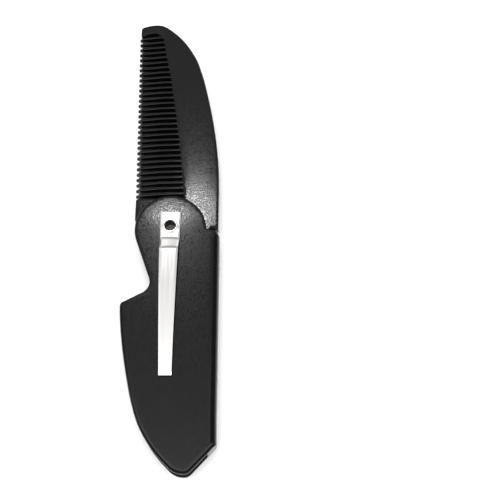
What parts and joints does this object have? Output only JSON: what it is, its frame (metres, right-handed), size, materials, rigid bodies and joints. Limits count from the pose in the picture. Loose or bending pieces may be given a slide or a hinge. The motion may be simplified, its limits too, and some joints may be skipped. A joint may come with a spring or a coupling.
{
  "type": "folding comb",
  "caption": "Folding pocket comb: a fine-toothed comb turns on a rivet out of an open-sided sheath handle with a finger notch and a spring steel pocket clip.",
  "frame": {"origin": "middle of the open comb's length and width, on the flat back that it lies on", "axes": "+X towards the handle's solid spine, +Y towards the open comb's tip, +Z out of the front, where the clip is"},
  "size_m": [0.0317, 0.1576, 0.0125],
  "materials": {
    "handle_plastic": "black moulded plastic with a fine spark-eroded grain, satin",
    "comb_plastic": "black moulded plastic, a little smoother than the handle, satin",
    "clip_steel": "bright nickel-plated spring steel",
    "rivet_steel": "bright nickel-plated steel, satin in the bore"
  },
  "bodies": {
    "handle": {"handle": "handle_plastic", "pocket_clip": "clip_steel", "pivot_rivet": "rivet_steel"},
    "comb": {"comb_blade": "comb_plastic"}
  },
  "joints": [
    {"name": "comb_hinge", "type": "hinge", "parent": "handle", "child": "comb", "pos_m": [-0.0003, 0.0008, 0.005], "axis": [0, 0, 1], "range_deg": [0, 178]}
  ]
}
